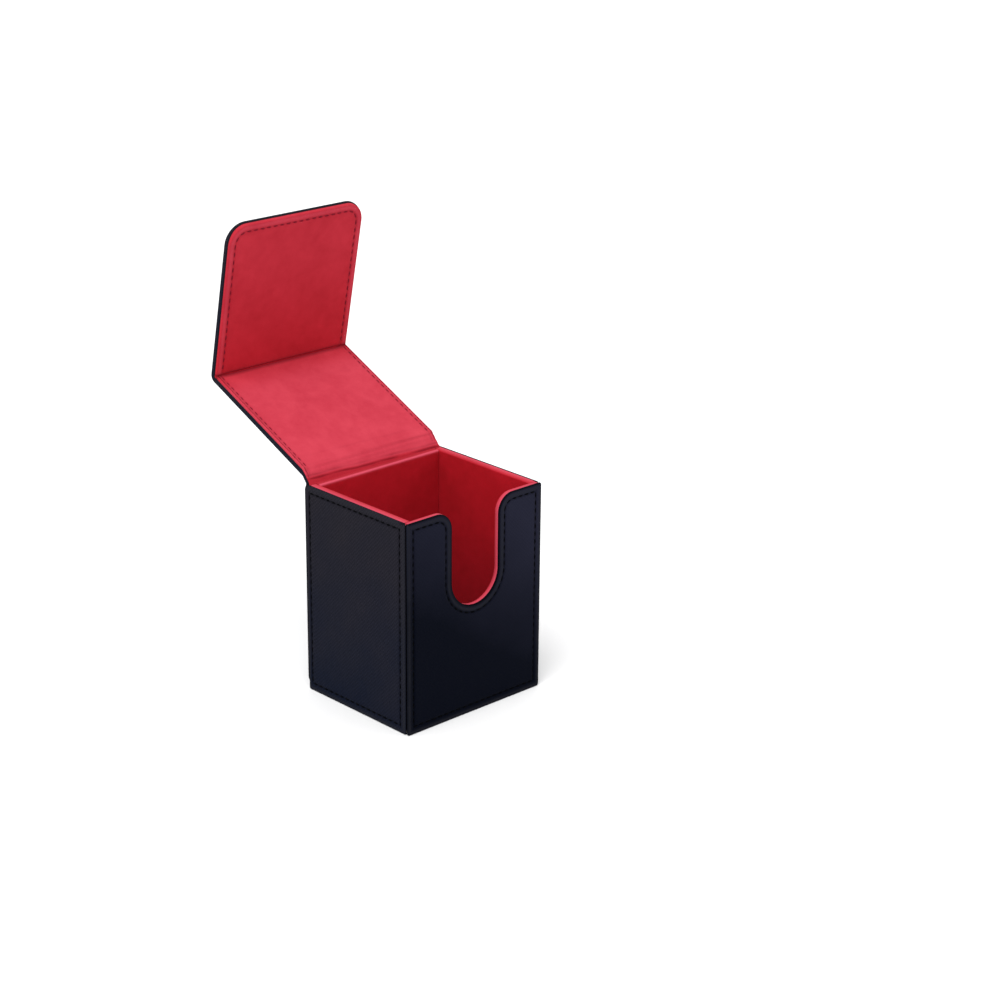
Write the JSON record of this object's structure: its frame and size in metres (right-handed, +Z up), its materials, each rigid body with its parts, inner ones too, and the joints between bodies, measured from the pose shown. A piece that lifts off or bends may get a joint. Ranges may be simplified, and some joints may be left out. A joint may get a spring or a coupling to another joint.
{
  "type": "card deck box",
  "caption": "Leather-covered upright card box with a suede-lined card well, a thumb notch in the front wall and a lid with magnetic front flap that folds back on leather creases.",
  "frame": {"origin": "centre of the base's underside, on the surface the box stands on", "axes": "+Z up along the card well, -Y towards the front wall with the thumb notch, +X along the width, to the right as seen from the front"},
  "size_m": [0.08, 0.1364, 0.2073],
  "materials": {
    "black_leather": "black grained synthetic leather, soft satin",
    "crimson_suede": "crimson microfibre suede, short nap",
    "grey_board": "uncoated grey board, hidden under the covering",
    "magnet": "nickel-plated disc magnet, hidden",
    "keeper_steel": "bare steel disc, hidden"
  },
  "bodies": {
    "box": {"left_wall_leather": "black_leather", "left_wall_board": "grey_board", "left_wall_lining": "crimson_suede", "right_wall_leather": "black_leather", "right_wall_board": "grey_board", "right_wall_lining": "crimson_suede", "front_wall_leather": "black_leather", "front_wall_lining": "crimson_suede", "front_wall_board": "grey_board", "left_keeper_disc": "keeper_steel", "right_keeper_disc": "keeper_steel", "back_wall_board": "grey_board", "back_wall_lining": "crimson_suede", "back_cover_leather": "black_leather", "back_cover_board": "grey_board", "base_leather": "black_leather", "base_board": "grey_board", "base_lining": "crimson_suede"},
    "hinge_strip": {"hinge_strip_leather": "black_leather", "hinge_strip_lining": "crimson_suede"},
    "lid": {"lid_leather": "black_leather", "lid_board": "grey_board", "lid_lining": "crimson_suede", "flap_crease_leather": "black_leather"},
    "flap": {"flap_leather": "black_leather", "flap_lining": "crimson_suede", "flap_board": "grey_board", "left_flap_magnet": "magnet", "right_flap_magnet": "magnet"}
  },
  "joints": [
    {"name": "rear_crease", "type": "hinge", "parent": "box", "child": "hinge_strip", "pos_m": [0, 0.0345, 0.0993], "axis": [1, 0, 0], "range_deg": [-12, 38]},
    {"name": "lid_crease", "type": "hinge", "parent": "hinge_strip", "child": "lid", "pos_m": [0, 0.03678, 0.10222], "axis": [1, 0, 0], "range_deg": [-37.5, 117.5]},
    {"name": "flap_crease", "type": "hinge", "parent": "lid", "child": "flap", "pos_m": [0, 0.09852, 0.13409], "axis": [1, 0, 0], "range_deg": [-77, 13], "deforming": ["flap_crease_leather"]}
  ]
}
